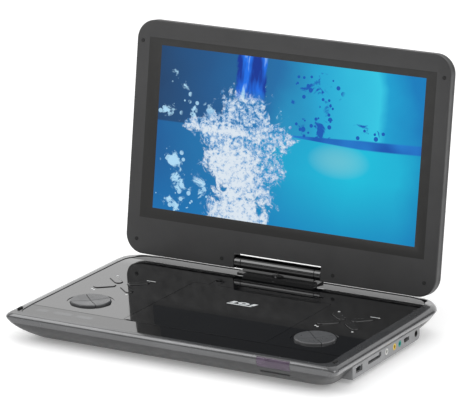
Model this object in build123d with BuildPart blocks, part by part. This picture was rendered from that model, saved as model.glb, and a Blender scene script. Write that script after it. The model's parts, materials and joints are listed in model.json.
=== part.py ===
"""Portable DVD player with a swivelling 13.3 inch screen, built in millimetres.

Frame: +X to the user's right, +Y away from the user, +Z up. The origin is on the table
surface, in the middle of the space that the player takes up with its screen raised.
"""
from build123d import *
import math
import os

os.makedirs("parts", exist_ok=True)

# --- screen -----------------------------------------------------------------------------
lcd_width = 294.0  # 13.3 inch diagonal, 16:9
lcd_height = 165.4
screen_half_width = 174.6
screen_above_lcd = 108.0  # from the picture's middle to the lid's top edge
screen_below_lcd = 131.3  # and to its bottom edge
screen_thickness = 14.0
screen_corner = 20.0
screen_tilt = 7.33  # degrees, leaning back at rest
shell_wall = 2.0
window_half_width = 160.0  # mouth of the bezel's sloped surround
window_above_lcd = 90.7
window_below_lcd = 93.5
glass_setback = 3.0  # how far the glass lies behind the bezel's face
bezel_split = 1.0  # height over the mid-plane where bezel and back cover meet

# --- hinge ------------------------------------------------------------------------------
hinge_z = 39.4
hinge_from_edge = 6.2  # from the lid's bottom edge up to the tilt axis
barrel_radius = 6.8
barrel_half = 41.0
notch_half = 49.0
notch_height = 15.4
shaft_radius = 2.5
running_gap = 0.05
post_radius = 4.5
bearing_radius = 6.6
bearing_low = 14.0
bearing_high = 30.0

# --- base -------------------------------------------------------------------------------
base_half_width = 180.4
front_reach = 231.4  # from the tilt axis to the front edge
rear_reach = 10.8
deck_z = 30.0
cover_thickness = 2.0
rim_lip = 0.6  # how far the rim stands above the deck
rim_inset = 11.4  # from the widest line to the rim's top, at the sides
rim_inset_front = 6.2
rim_inset_rear = 1.2
case_wall = 2.2
floor_z = 2.5
floor_thickness = 2.0
split_z = 20.0
widest_z = 24.4
shelf_z = 25.2
hull_inset = 18.5  # from the widest line to the floor, at the sides
hull_inset_front = 22.6
hull_inset_rear = 9.0
front_corner = 7.0
rear_corner = 32.0

# The hinge sits so that the bounding box of the raised player is centred on the origin.
lean = math.radians(screen_tilt)
screen_height = screen_above_lcd + screen_below_lcd
half_thickness = screen_thickness / 2
tip_above_hinge = screen_height - hinge_from_edge
screen_rear = tip_above_hinge * math.sin(lean) + half_thickness * math.cos(lean)
hinge_y = (front_reach - screen_rear) / 2
front_y = hinge_y - front_reach
rear_y = hinge_y + rear_reach

# --- deck -------------------------------------------------------------------------------
cover_half_width = 167.6
cover_front = front_y + 7.6
cover_rear = rear_y - 2.6
cover_gap = 0.5  # groove between the deck and the rim
front_band_start = hinge_y - 197.5
rear_band_start = hinge_y - 40.0
front_drop = 1.2
rear_drop = 2.4
pad_x = 123.2
pad_y = hinge_y - 161.9
pad_radius = 20.0
pad_rise = 1.9
pad_dish = 0.9
key_x = 124.2
key_y = hinge_y - 100.4
key_angle = 42.0
key_length = 22.0
key_width = 8.0
key_spread = 17.0
key_rise = 0.8
key_gap = 0.6
key_bottom = deck_z - 3.2
flange_thickness = 0.9

# --- disc drive -------------------------------------------------------------------------
door_x = 10.5
door_width = 153.0
door_length = 140.0
door_gap = 0.4
door_front = front_band_start + 1.0
door_rear = door_front + door_length
door_y = (door_front + door_rear) / 2
door_axis_y = door_rear + 12.0
door_axis_z = deck_z - 3.5
knuckle_x = 55.0
knuckle_width = 10.0
door_pin_radius = 1.2
disc_well_radius = 61.0
well_floor_z = 17.0
chassis_top_z = 27.6

# --- ports ------------------------------------------------------------------------------
port_face_x = 176.4
port_front = hinge_y - 188.0
port_rear = hinge_y - 43.5
port_end_radius = 5.0
port_low = 5.0
port_high = 18.5
port_z = 12.5
usb_y = hinge_y - 174.5
card_y = hinge_y - 143.0
av_in_y = hinge_y - 116.2
av_out_y = hinge_y - 99.3
phones_y = hinge_y - 88.0
switch_y = hinge_y - 73.0
dc_y = hinge_y - 52.3
board_z = 7.9
board_top = 9.5
board_x = (92.0, 160.0)
board_y = (hinge_y - 172.0, hinge_y - 44.0)
window_x = 114.8  # middle of the infrared window in the front edge
window_width = 34.5
window_low = 18.4
window_high = 28.2
jack_bore = 1.8
jack_radius = 3.2


def save(piece, label):
    """Name one finished piece and write it as its own STEP file."""
    piece.part.label = label
    export_step(piece.part, f"parts/{label}.step")


def plan_outline(z, side, front, rear, near_radius, far_radius):
    """Plan outline of the base at height z, set in from its widest line on each side."""
    near = front_y + front
    far = rear_y - rear
    with BuildSketch(Plane.XY.offset(z)) as outline:
        with Locations((0, (near + far) / 2)):
            Rectangle(2 * (base_half_width - side), far - near)
        fillet(outline.vertices().group_by(Axis.Y)[0], near_radius)
        fillet(outline.vertices().group_by(Axis.Y)[-1], far_radius)
    return outline.sketch


def hull_outline(z, wall):
    """Outline of the boat-shaped hull at height z, thinned by a wall."""
    drop = (widest_z - z) / (widest_z - floor_z)
    return plan_outline(
        z,
        hull_inset * drop**1.3 + wall,
        hull_inset_front * drop**1.83 + wall,
        hull_inset_rear * drop**3 + wall,
        front_corner + 9.0 * drop - wall,
        rear_corner + 20.0 * drop - wall,
    )


def rim_outline(angle):
    """Outline of the rim where its rounded section has turned by an angle above the widest line."""
    shrink = 1 - math.cos(math.radians(angle))
    z = widest_z + (deck_z + rim_lip - widest_z) * math.sin(math.radians(angle))
    near_radius = front_corner + 4.0 * shrink
    return plan_outline(
        z, rim_inset * shrink, rim_inset_front * shrink, rim_inset_rear * shrink, near_radius, rear_corner
    )


def cover_outline(z, gap):
    """Plan outline of the glossy deck, grown by a gap all round."""
    near = cover_front - gap
    far = cover_rear + gap
    with BuildSketch(Plane.XY.offset(z)) as outline:
        with Locations((0, (near + far) / 2)):
            Rectangle(2 * (cover_half_width + gap), far - near)
        fillet(outline.vertices().group_by(Axis.Y)[0], front_corner + 3.0 + gap)
        fillet(outline.vertices().group_by(Axis.Y)[-1], rear_corner - 1.4 + gap)
    return outline.sketch


def deck_strip(below, above, overhang):
    """Side view of the deck's surface as a band: flat, a sloped front and a rolled rear."""
    drop_slope = front_drop / (front_band_start - cover_front)
    near = cover_front - overhang
    near_z = deck_z - drop_slope * (front_band_start - near)
    far = cover_rear + overhang
    roll = math.atan2(rear_drop, cover_rear - rear_band_start)
    far_z = deck_z - rear_drop - overhang * math.tan(2 * roll)
    with BuildSketch(Plane.YZ) as strip:
        with BuildLine():
            top = Polyline(
                (near, near_z + above), (front_band_start, deck_z + above), (rear_band_start, deck_z + above)
            )
            back = TangentArc(top @ 1, (far, far_z + above), tangent=(1, 0))
            Line(back @ 1, (far, far_z - below))
            under = TangentArc((rear_band_start, deck_z - below), (far, far_z - below), tangent=(1, 0))
            Polyline(under @ 0, (front_band_start, deck_z - below), (near, near_z - below), (near, near_z + above))
        make_face()
    return strip.sketch


def hull_sections(wall):
    """Outlines of the lower hull from its bottom up to the parting line."""
    rise = (split_z - floor_z) / 6
    return [hull_outline(floor_z + step * rise, wall) for step in range(7)]


def rim_sections():
    """Outlines of the rim from the parting line up to its narrow top."""
    below = [hull_outline(z, 0.0) for z in (split_z, (split_z + widest_z) / 2)]
    return below + [rim_outline(angle) for angle in range(0, 91, 15)]


def window_mouth(gap, depth):
    """Box that the infrared window fills in the front edge, grown by a gap."""
    with BuildSketch(Plane.XZ.offset(2 - front_y)) as mouth:
        with Locations((window_x, (window_low + window_high) / 2)):
            Rectangle(window_width + 2 * gap, window_high - window_low + 2 * gap)
    return extrude(mouth.sketch, -depth - 2)


# --- lower case -------------------------------------------------------------------------
boss_places = [
    (sx * x, y) for sx in (-1, 1) for x, y in ((155.0, front_y + 34.0), (146.0, hinge_y - 30.0))
] + [(-75.0, hinge_y - 40.0), (-60.0, front_y + 30.0)]
damper_places = [(door_x + sx * 64.0, door_y + sy * 56.0) for sx in (-1, 1) for sy in (-1, 1)]
battery_x = -122.0
battery_y = hinge_y - 105.0
battery_bay = (74.0, 84.0)
cell_radius = 8.5
cell_length = 66.0
pad_spots = [(sx * 171.4, front_y + 17.0) for sx in (-1, 1)]
pad_spot_length = 8.0
pad_spot_width = 3.0
pad_pocket_z = 27.0
speaker_places = [(sx * 136.0, front_y + 36.0) for sx in (-1, 1)]
speaker_radius = 12.0
boss_radius = 3.4
reset_y = hinge_y - 40.6
reset_z = 18.0
reset_radius = 1.3
floor_top = floor_z + floor_thickness
damper_z = 12.0

outer_hull = hull_sections(0)
inner_hull = hull_sections(case_wall)
window_cut = window_mouth(0.15, 11.0)
window_block = window_mouth(0.0, 3.6)
with BuildPart() as lower_case:
    loft(sections=outer_hull, ruled=True)
    loft(sections=inner_hull, ruled=True, mode=Mode.SUBTRACT)
    extrude(to_extrude=hull_outline(floor_z, 0.2), amount=floor_thickness)
    with BuildSketch(Plane.XY.offset(floor_top - 0.5)):
        with Locations(*boss_places):
            Circle(boss_radius)
    extrude(amount=split_z - floor_top + 0.5 - 0.2)
    with BuildSketch(Plane.XY.offset(floor_top - 0.5)):
        with Locations(*damper_places):
            Circle(4.5)
    extrude(amount=damper_z - floor_top + 0.5)
    with BuildSketch(Plane.XY.offset(floor_top - 0.5)):
        with Locations(*[(x, y) for x in (board_x[0] + 5, board_x[1] - 8) for y in (board_y[0] + 5, board_y[1] - 5)]):
            Circle(2.5)
    extrude(amount=board_z - floor_top + 0.5)
    with BuildSketch(Plane.XY.offset(floor_top - 0.5)):
        with Locations((0, hinge_y - 2.5)):
            Circle(bearing_radius - 0.6)
    extrude(amount=bearing_low - floor_top + 0.5)
    with BuildSketch(Plane.XY.offset(floor_z)):
        with Locations((battery_x, battery_y)):
            Rectangle(*battery_bay)
    extrude(amount=floor_thickness, mode=Mode.SUBTRACT)
    for speaker in speaker_places:
        with BuildSketch(Plane.XY.offset(floor_z)):
            with Locations(speaker):
                with GridLocations(0, 4.0, 1, 5):
                    SlotOverall(18.0, 1.8)
        extrude(amount=floor_thickness, mode=Mode.SUBTRACT)
    with BuildSketch(Plane.YZ.offset(port_face_x - 22.0)):
        with Locations(((port_front + port_rear) / 2, (port_low + port_high) / 2 + 0.8)):
            Rectangle(port_rear - port_front - 4.6, 10.4)
    extrude(amount=26.0, mode=Mode.SUBTRACT)
    with Locations(*[(x, y, floor_z) for x, y in boss_places]):
        Cylinder(1.3, 12.0, align=(Align.CENTER, Align.CENTER, Align.MIN), mode=Mode.SUBTRACT)
        Cylinder(2.8, 2.6, align=(Align.CENTER, Align.CENTER, Align.MIN), mode=Mode.SUBTRACT)
    with Locations(*[(x, y, 8.0) for x, y in damper_places]):
        Cylinder(1.6, 6.0, align=(Align.CENTER, Align.CENTER, Align.MIN), mode=Mode.SUBTRACT)
    add(window_cut, mode=Mode.SUBTRACT)
    with Locations((window_x - 1.5, front_y + 8.0, 12.0)):
        Box(30.6, 2.4, 1.0)
    with Locations(Location((port_face_x, reset_y, reset_z), (0, 90, 0))):
        Cylinder(reset_radius, 12.0, mode=Mode.SUBTRACT)
save(lower_case, "lower_case")

with BuildPart() as battery_cover:
    with BuildSketch(Plane.XY.offset(floor_z)) as lid_plan:
        with Locations((battery_x, battery_y)):
            Rectangle(battery_bay[0] - 0.6, battery_bay[1] - 0.6)
        fillet(lid_plan.vertices(), 0.8)
    extrude(amount=floor_thickness)
    with BuildSketch(Plane.XY.offset(floor_z)):
        with Locations((battery_x, battery_y - 34.0)):
            with GridLocations(0, 3.0, 1, 3):
                SlotOverall(16.0, 1.2)
    extrude(amount=0.7, mode=Mode.SUBTRACT)
save(battery_cover, "battery_cover")

with BuildPart() as rubber_feet:
    with BuildSketch() as feet_plan:
        with Locations(*[(sx * 132.0, y) for sx in (-1, 1) for y in (front_y + 54.0, rear_y - 34.0)]):
            Circle(7.0)
    extrude(amount=floor_z)
    fillet(rubber_feet.faces().sort_by(Axis.Z)[:4].edges(), 0.6)
save(rubber_feet, "rubber_feet")

screw_length = 9.0
with BuildPart() as case_screws:
    with Locations(*[(x, y, floor_z + 0.4) for x, y in boss_places]):
        Cylinder(2.6, 1.8, align=(Align.CENTER, Align.CENTER, Align.MIN))
        Cylinder(1.25, screw_length, align=(Align.CENTER, Align.CENTER, Align.MIN))
    with Locations(*[(x, y, floor_z + 0.4) for x, y in boss_places]):
        Box(3.2, 0.7, 0.8, align=(Align.CENTER, Align.CENTER, Align.MIN), mode=Mode.SUBTRACT)
        Box(0.7, 3.2, 0.8, align=(Align.CENTER, Align.CENTER, Align.MIN), mode=Mode.SUBTRACT)
save(case_screws, "case_screws")

# --- upper case: the rim ----------------------------------------------------------------
rim = rim_sections()
above_deck = deck_strip(-rim_lip, 12.0, 12.0)
recess = cover_outline(shelf_z, cover_gap)
with BuildSketch(Plane.XY.offset(split_z)) as cavity:
    with Locations((0, (cover_front + cover_rear) / 2)):
        Rectangle(2 * (cover_half_width - 4.0), cover_rear - cover_front - 5.0)
    fillet(cavity.vertices(), 8.0)
rim_room = plan_outline(split_z, 5.5, 5.5, 5.5, front_corner - 3.0, rear_corner - 4.0)
with BuildPart() as upper_case:
    loft(sections=rim, ruled=True)
    extrude(to_extrude=rim_room, amount=3.0, mode=Mode.SUBTRACT)
    extrude(to_extrude=cavity.sketch, amount=12.0, mode=Mode.SUBTRACT)
    extrude(to_extrude=recess, amount=12.0, mode=Mode.SUBTRACT)
    extrude(to_extrude=above_deck, amount=base_half_width + 10, both=True, mode=Mode.SUBTRACT)
    with Locations((0, hinge_y, split_z)):
        Cylinder(bearing_radius + 0.2, 12.0, align=(Align.CENTER, Align.CENTER, Align.MIN), mode=Mode.SUBTRACT)
    add(window_cut, mode=Mode.SUBTRACT)
    with BuildSketch(Plane.XY.offset(pad_pocket_z)):
        with Locations(*pad_spots):
            SlotOverall(pad_spot_length, pad_spot_width, rotation=90)
    extrude(amount=6.0, mode=Mode.SUBTRACT)
save(upper_case, "upper_case")

with BuildPart() as rest_pads:
    with BuildSketch(Plane.XY.offset(pad_pocket_z)):
        with Locations(*pad_spots):
            SlotOverall(pad_spot_length - 0.1, pad_spot_width - 0.1, rotation=90)
    extrude(amount=deck_z + 1.1 - pad_pocket_z)
    fillet(rest_pads.faces().sort_by(Axis.Z)[-2:].edges(), 0.4)
save(rest_pads, "rest_pads")

with BuildPart() as ir_window:
    loft(sections=outer_hull, ruled=True)
    loft(sections=rim, ruled=True)
    add(window_block, mode=Mode.INTERSECT)
save(ir_window, "ir_window")

with BuildPart() as ir_receiver:
    with Locations((window_x - 8.0, front_y + 9.0, 22.0)):
        Box(6.0, 3.6, 7.0)
        with Locations((0, -1.8, 0.6)):
            Sphere(2.2)
save(ir_receiver, "ir_receiver")

# --- deck cover -------------------------------------------------------------------------
key_places = {}
for side, sx in (("left", -1), ("right", 1)):
    for number, turn in enumerate((key_angle, 180 - key_angle, 180 + key_angle, -key_angle), start=1):
        reach_x = key_spread * math.cos(math.radians(turn))
        reach_y = key_spread * math.sin(math.radians(turn))
        key_places[f"key_{side}_{number}"] = (sx * key_x + reach_x, key_y + reach_y, turn)
plinth_half = 45.0  # raised pad that the hinge's neck turns on
plinth_front = hinge_y - 9.0
ring_radius = 23.5
ring_depth = 0.5
lug_width = 3.0
lug_reach = knuckle_width / 2 + door_gap
knuckle_places = [door_x - knuckle_x, door_x + knuckle_x]
knuckle_radius = 3.4
board_corners = [
    (sx * x, hinge_y - y) for sx in (-1, 1) for x in (99.5, 148.5) for y in (184.5, 79.5)
]
key_board_z = 22.8
key_board_top = 24.2
groove_width = 0.6
groove_depth = 0.4

cover_prism = extrude(cover_outline(split_z, 0.0), 14.0)
cover_strip = deck_strip(cover_thickness, 0.0, 6.0)
with BuildPart() as deck_cover:
    extrude(to_extrude=cover_strip, amount=cover_half_width + 5, both=True)
    with BuildSketch(Plane.XY.offset(shelf_z + 0.4)) as plinth:
        with Locations((0, (plinth_front + cover_rear) / 2)):
            Rectangle(2 * plinth_half, cover_rear - plinth_front)
        fillet(plinth.vertices().group_by(Axis.Y)[0], 3.0)
    extrude(amount=deck_z - shelf_z - 0.4)
    add(cover_prism, mode=Mode.INTERSECT)
    with BuildSketch(Plane.XY.offset(deck_z - 8)):
        with Locations((door_x, door_y)):
            RectangleRounded(door_width + 2 * door_gap, door_length + 2 * door_gap, 3.0)
        with Locations(*[(x, (door_rear + door_axis_y + knuckle_radius) / 2) for x in knuckle_places]):
            Rectangle(knuckle_width + 2 * door_gap, door_axis_y + knuckle_radius - door_rear + 2 * door_gap)
        with Locations((0, hinge_y)):
            Circle(bearing_radius + 0.2)
        with Locations((-pad_x, pad_y), (pad_x, pad_y)):
            Circle(pad_radius + key_gap)
    extrude(amount=10.0, mode=Mode.SUBTRACT)
    for x, y, turn in key_places.values():
        with BuildSketch(Plane.XY.offset(deck_z - 3)):
            with Locations(Location((x, y, 0), (0, 0, turn))):
                SlotOverall(key_length + 2 * key_gap, key_width + 2 * key_gap)
        extrude(amount=4.0, mode=Mode.SUBTRACT)
    with BuildSketch(Plane.XY.offset(deck_z - ring_depth)):
        with Locations((-pad_x, pad_y), (pad_x, pad_y)):
            Circle(ring_radius)
    extrude(amount=1.0, mode=Mode.SUBTRACT)
    with Locations((0, front_band_start, deck_z)):
        Box(2 * cover_half_width, groove_width, 2 * groove_depth, mode=Mode.SUBTRACT)
    for x in knuckle_places:
        for sx in (-1, 1):
            with Locations((x + sx * (lug_reach + lug_width / 2), door_axis_y, door_axis_z - 0.7)):
                Box(lug_width, 8.0, 4.6)
            with Locations(Location((x + sx * (lug_reach + lug_width / 2), door_axis_y, door_axis_z), (0, 90, 0))):
                Cylinder(door_pin_radius, lug_width, mode=Mode.SUBTRACT)
    with Locations(*[(x, y, key_board_top) for x, y in board_corners]):
        Cylinder(1.6, deck_z - 1.5 - key_board_top, align=(Align.CENTER, Align.CENTER, Align.MIN))
save(deck_cover, "deck_cover")

pin_length = 2 * (lug_reach + lug_width)
with BuildPart() as door_pins:
    with Locations(*[Location((x, door_axis_y, door_axis_z), (0, 90, 0)) for x in knuckle_places]):
        Cylinder(door_pin_radius, pin_length)
save(door_pins, "door_pins")

# --- disc door --------------------------------------------------------------------------
notch_x = door_x - door_width / 2 + 6.0
with BuildPart() as disc_door:
    with BuildSketch(Plane.XY.offset(deck_z - cover_thickness)) as door_plan:
        with Locations((door_x, door_y)):
            RectangleRounded(door_width, door_length, 2.6)
        with Locations((notch_x, door_front)):
            SlotOverall(8.0, 4.0, mode=Mode.SUBTRACT)
    extrude(amount=cover_thickness)
    with BuildSketch(Plane.YZ) as arm:
        with BuildLine():
            Polyline(
                (door_rear - 4.0, deck_z - 0.1),
                (door_axis_y, deck_z - 0.1),
                (door_axis_y, door_axis_z - knuckle_radius + 0.4),
                (door_rear - 1.5, deck_z - cover_thickness - 0.5),
                (door_rear - 4.0, deck_z - cover_thickness - 0.2),
                close=True,
            )
        make_face()
        with Locations((door_axis_y, door_axis_z)):
            Circle(knuckle_radius)
            Circle(door_pin_radius + running_gap, mode=Mode.SUBTRACT)
    for x in knuckle_places:
        extrude(to_extrude=Pos(x, 0, 0) * arm.sketch, amount=knuckle_width / 2, both=True)
    with Locations((door_x, door_front + 3.0, deck_z - cover_thickness - 1.5)):
        Box(10.0, 1.2, 3.0)
        with Locations((0, -0.8, -1.1)):
            Box(10.0, 1.0, 0.8)
save(disc_door, "disc_door")

# --- keys -------------------------------------------------------------------------------
for name, (x, y, turn) in key_places.items():
    with BuildPart() as key:
        with BuildSketch(Plane.XY.offset(key_bottom)):
            with Locations(Location((x, y, 0), (0, 0, turn))):
                SlotOverall(key_length + 2.0, key_width + 2.0)
        extrude(amount=flange_thickness)
        with BuildSketch(Plane.XY.offset(key_bottom)):
            with Locations(Location((x, y, 0), (0, 0, turn))):
                SlotOverall(key_length, key_width)
        extrude(amount=deck_z + key_rise - key_bottom)
        fillet(key.faces().sort_by(Axis.Z)[-1].edges(), 0.7)
    save(key, name)

sector_gap = 0.6
quarters = {"front": -90, "right": 0, "back": 90, "left": 180}
for side, sx in (("left", -1), ("right", 1)):
    for quarter, turn in quarters.items():
        place = Plane(origin=(sx * pad_x, pad_y, 0), x_dir=(1, 0, 0), z_dir=(0, -1, 0))
        with BuildPart() as sector:
            with BuildSketch(place):
                with BuildLine():
                    Polyline(
                        (0, key_bottom),
                        (pad_radius + 1.2, key_bottom),
                        (pad_radius + 1.2, key_bottom + flange_thickness),
                        (pad_radius, key_bottom + flange_thickness),
                        (pad_radius, deck_z + pad_rise - 0.7),
                        (pad_radius - 0.7, deck_z + pad_rise),
                        (pad_radius - 2.4, deck_z + pad_rise),
                        (0, deck_z + pad_dish),
                        close=True,
                    )
                make_face()
            revolve(axis=Axis((sx * pad_x, pad_y, 0), (0, 0, 1)))
            with BuildSketch(Plane.XY.offset(key_bottom - 1)):
                with Locations(Location((sx * pad_x, pad_y, 0), (0, 0, turn))):
                    with Locations((sector_gap / math.sqrt(2), 0)):
                        Polygon((0, 0), (40, 40), (40, -40), align=None)
            extrude(amount=12.0, mode=Mode.INTERSECT)
        save(sector, f"pad_{side}_{quarter}")

dome_radius = 2.6
dome_top = 25.9
sheet_top = 24.8
dome_places = [(x, y) for x, y, turn in key_places.values()]
dome_places += [
    (sx * pad_x + 12 * math.cos(math.radians(turn)), pad_y + 12 * math.sin(math.radians(turn)))
    for sx in (-1, 1)
    for turn in quarters.values()
]
sheet_y = hinge_y - 132.0
with BuildPart() as key_membranes:
    with BuildSketch(Plane.XY.offset(key_board_top)):
        with Locations((-124.0, sheet_y), (124.0, sheet_y)):
            RectangleRounded(44.0, 101.0, 3.0)
    extrude(amount=sheet_top - key_board_top)
    with Locations(*[(x, y, sheet_top) for x, y in dome_places]):
        Cone(dome_radius, dome_radius - 0.8, dome_top - sheet_top, align=(Align.CENTER, Align.CENTER, Align.MIN))
save(key_membranes, "key_membranes")

with BuildPart() as key_boards:
    with BuildSketch(Plane.XY.offset(key_board_z)):
        with Locations((-124.0, sheet_y), (124.0, sheet_y)):
            RectangleRounded(53.0, 110.0, 2.0)
    extrude(amount=key_board_top - key_board_z)
save(key_boards, "key_boards")

# --- disc drive -------------------------------------------------------------------------
wall_ring = disc_well_radius + 2.0
slot_half = 5.8
slot_near = door_y - 60.0
slot_far = door_y - 18.0
chassis_half = (74.0, 64.0)
damper_top = 15.2
rail_x = (door_x - 14.0, door_x + 14.0)
rail_z = 11.5
rail_radius = 1.2
rail_near = door_y - 62.6
rail_far = door_y + 7.0
ear_thickness = 2.4
with BuildPart() as drive_chassis:
    with BuildSketch(Plane.XY.offset(chassis_top_z)):
        with Locations((door_x, door_y)):
            RectangleRounded(2 * chassis_half[0], 2 * chassis_half[1], 4.0)
            Circle(disc_well_radius, mode=Mode.SUBTRACT)
    extrude(amount=-2.0)
    with BuildSketch(Plane.XY.offset(well_floor_z - 2)):
        with Locations((door_x, door_y)):
            Circle(wall_ring)
    extrude(amount=chassis_top_z - well_floor_z + 1)
    with BuildSketch(Plane.XY.offset(well_floor_z)):
        with Locations((door_x, door_y)):
            Circle(disc_well_radius)
    extrude(amount=20.0, mode=Mode.SUBTRACT)
    with BuildSketch(Plane.XY.offset(well_floor_z - 4)):
        with Locations((door_x, (slot_near + slot_far) / 2)):
            Rectangle(2 * slot_half, slot_far - slot_near)
        with Locations((door_x, door_y)):
            Circle(3.0)
    extrude(amount=8.0, mode=Mode.SUBTRACT)
    with Locations(*[(x, y, damper_top) for x, y in damper_places]):
        Cylinder(5.0, chassis_top_z - 1 - damper_top, align=(Align.CENTER, Align.CENTER, Align.MIN))
    ear_rows = (rail_near + ear_thickness / 2, rail_far - ear_thickness / 2)
    with Locations(*[(x, y, rail_z + 1.5) for x in rail_x for y in ear_rows]):
        Box(4.6, ear_thickness, 6.0)
    with Locations(*[Location((x, (rail_near + rail_far) / 2, rail_z), (90, 0, 0)) for x in rail_x]):
        Cylinder(rail_radius, rail_far - rail_near, mode=Mode.SUBTRACT)
save(drive_chassis, "drive_chassis")

with BuildPart() as drive_dampers:
    with Locations(*[(x, y, damper_z) for x, y in damper_places]):
        Cylinder(4.2, damper_top - damper_z, align=(Align.CENTER, Align.CENTER, Align.MIN))
        Cylinder(1.8, 9.0, mode=Mode.SUBTRACT)
save(drive_dampers, "drive_dampers")

with BuildPart() as sled_rails:
    with Locations(*[Location((x, (rail_near + rail_far) / 2, rail_z), (90, 0, 0)) for x in rail_x]):
        Cylinder(rail_radius, rail_far - rail_near)
save(sled_rails, "sled_rails")

motor_low = 8.5
motor_radius = 11.5
spindle_radius = 1.0
with BuildPart() as spindle_motor:
    with Locations((door_x, door_y, motor_low)):
        Cylinder(motor_radius, well_floor_z - 2 - motor_low, align=(Align.CENTER, Align.CENTER, Align.MIN))
        Cylinder(spindle_radius + running_gap, 14.0, align=(Align.CENTER, Align.CENTER, Align.MIN), mode=Mode.SUBTRACT)
save(spindle_motor, "spindle_motor")

hub_low = well_floor_z + 0.5
seat_z = 19.5
nose_top = 22.4
with BuildPart() as spindle_hub:
    with BuildSketch(Plane.XZ.offset(-door_y)) as hub_profile:
        with BuildLine():
            Polyline(
                (door_x, motor_low + 1.5),
                (door_x + spindle_radius, motor_low + 1.5),
                (door_x + spindle_radius, hub_low),
                (door_x + 15.0, hub_low),
                (door_x + 16.0, hub_low + 0.6),
                (door_x + 16.0, seat_z - 0.3),
                (door_x + 13.0, seat_z - 0.3),
                (door_x + 13.0, seat_z),
                (door_x + 7.4, seat_z),
                (door_x + 7.4, nose_top - 1.2),
                (door_x + 5.6, nose_top),
                (door_x, nose_top),
                close=True,
            )
        make_face()
    revolve(axis=Axis((door_x, door_y, 0), (0, 0, 1)))
    with BuildSketch(Plane.XY.offset(seat_z + 0.8)):
        with Locations((door_x, door_y)):
            with PolarLocations(6.6, 3):
                Rectangle(2.6, 2.0)
    extrude(amount=4.0, mode=Mode.SUBTRACT)
save(spindle_hub, "spindle_hub")

screw_x = door_x + 20.0
screw_radius = 1.5
screw_near = door_y - 61.0
screw_far = door_y + 8.0
sled_y = door_y - 24.0
sled_half = (17.0, 8.0)
sled_low = 9.4
with BuildPart() as laser_sled:
    with Locations((door_x, sled_y + 3.0, sled_low)):
        Box(2 * sled_half[0], 2 * sled_half[1], 4.6, align=(Align.CENTER, Align.CENTER, Align.MIN))
    with Locations((door_x, sled_y, sled_low + 4.0)):
        Box(9.6, 10.0, 3.6, align=(Align.CENTER, Align.CENTER, Align.MIN))
        Cylinder(3.0, 4.4, align=(Align.CENTER, Align.CENTER, Align.MIN))
    with Locations((screw_x - 0.2, sled_y + 3.0, rail_z)):
        Box(7.0, 8.0, 4.2)
    with Locations(*[Location((x, sled_y, rail_z), (90, 0, 0)) for x in rail_x]):
        Cylinder(rail_radius + running_gap, 30.0, mode=Mode.SUBTRACT)
    with Locations(Location((screw_x, sled_y, rail_z), (90, 0, 0))):
        Cylinder(screw_radius + running_gap, 30.0, mode=Mode.SUBTRACT)
save(laser_sled, "laser_sled")

with BuildPart() as lead_screw:
    with Locations(Location((screw_x, (screw_near + screw_far) / 2, rail_z), (90, 0, 0))):
        Cylinder(screw_radius, screw_far - screw_near)
    with Locations(Location((screw_x, screw_far + 3.0, rail_z), (90, 0, 0))):
        Cylinder(0.8, 8.0)
save(lead_screw, "lead_screw")

with BuildPart() as sled_motor:
    with Locations(Location((screw_x, screw_far + 9.0, rail_z), (90, 0, 0))):
        Cylinder(3.3, 16.0)
        Cylinder(0.85, 18.0, mode=Mode.SUBTRACT)
save(sled_motor, "sled_motor")

# --- electronics in the base ------------------------------------------------------------
with BuildPart() as main_board:
    with BuildSketch(Plane.XY.offset(board_z)):
        with Locations((sum(board_x) / 2, sum(board_y) / 2)):
            Rectangle(board_x[1] - board_x[0], board_y[1] - board_y[0])
    extrude(amount=board_top - board_z)
    with Locations((112.0, hinge_y - 118.0, board_top), (112.0, hinge_y - 80.0, board_top)):
        Box(16.0, 16.0, 1.6, align=(Align.CENTER, Align.CENTER, Align.MIN))
    with Locations(*[(x, hinge_y - y, board_top) for x in (100.0, 126.0) for y in (60.0, 99.0, 150.0)]):
        Cylinder(3.0, 6.0, align=(Align.CENTER, Align.CENTER, Align.MIN))
save(main_board, "main_board")

with BuildPart() as battery_cells:
    for step in (-1, 0, 1):
        with Locations(Location((battery_x + step * 18.0, battery_y, floor_top + 0.3 + cell_radius), (90, 0, 0))):
            Cylinder(cell_radius, cell_length)
            with Locations((0, 0, cell_length / 2)):
                Cylinder(3.0, 1.6)
save(battery_cells, "battery_cells")

with BuildPart() as speakers:
    with Locations(*[(x, y, floor_top + 0.1) for x, y in speaker_places]):
        Cylinder(speaker_radius, 2.2, align=(Align.CENTER, Align.CENTER, Align.MIN))
        Cone(speaker_radius - 1.5, 5.5, 5.0, align=(Align.CENTER, Align.CENTER, Align.MIN))
        Cylinder(5.5, 7.5, align=(Align.CENTER, Align.CENTER, Align.MIN))
    with Locations(*[(x, y, floor_top + 0.1) for x, y in speaker_places]):
        Cone(speaker_radius - 2.5, 3.5, 2.6, align=(Align.CENTER, Align.CENTER, Align.MIN), mode=Mode.SUBTRACT)
save(speakers, "speakers")

# --- port panel and sockets -------------------------------------------------------------
plate = 1.8
plate_x = port_face_x - plate
port_middle = (port_front + port_rear) / 2
jack_places = {"av_in_jack": av_in_y, "av_out_jack": av_out_y, "headphone_jack": phones_y}
side_plane = Plane(origin=(0, 0, 0), x_dir=(0, 1, 0), z_dir=(1, 0, 0))
usb_half = (6.7, 3.0)
card_half = (12.8, 1.5)


def panel_outline(x, inset):
    """Side outline of the port panel with its rounded rear end."""
    with BuildSketch(side_plane.offset(x)) as outline:
        with Locations((port_middle, (port_low + port_high) / 2)):
            Rectangle(port_rear - port_front - 2 * inset, port_high - port_low - 2 * inset)
        fillet(outline.vertices().group_by(Axis.X)[-1], port_end_radius - inset)
    return outline.sketch


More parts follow.
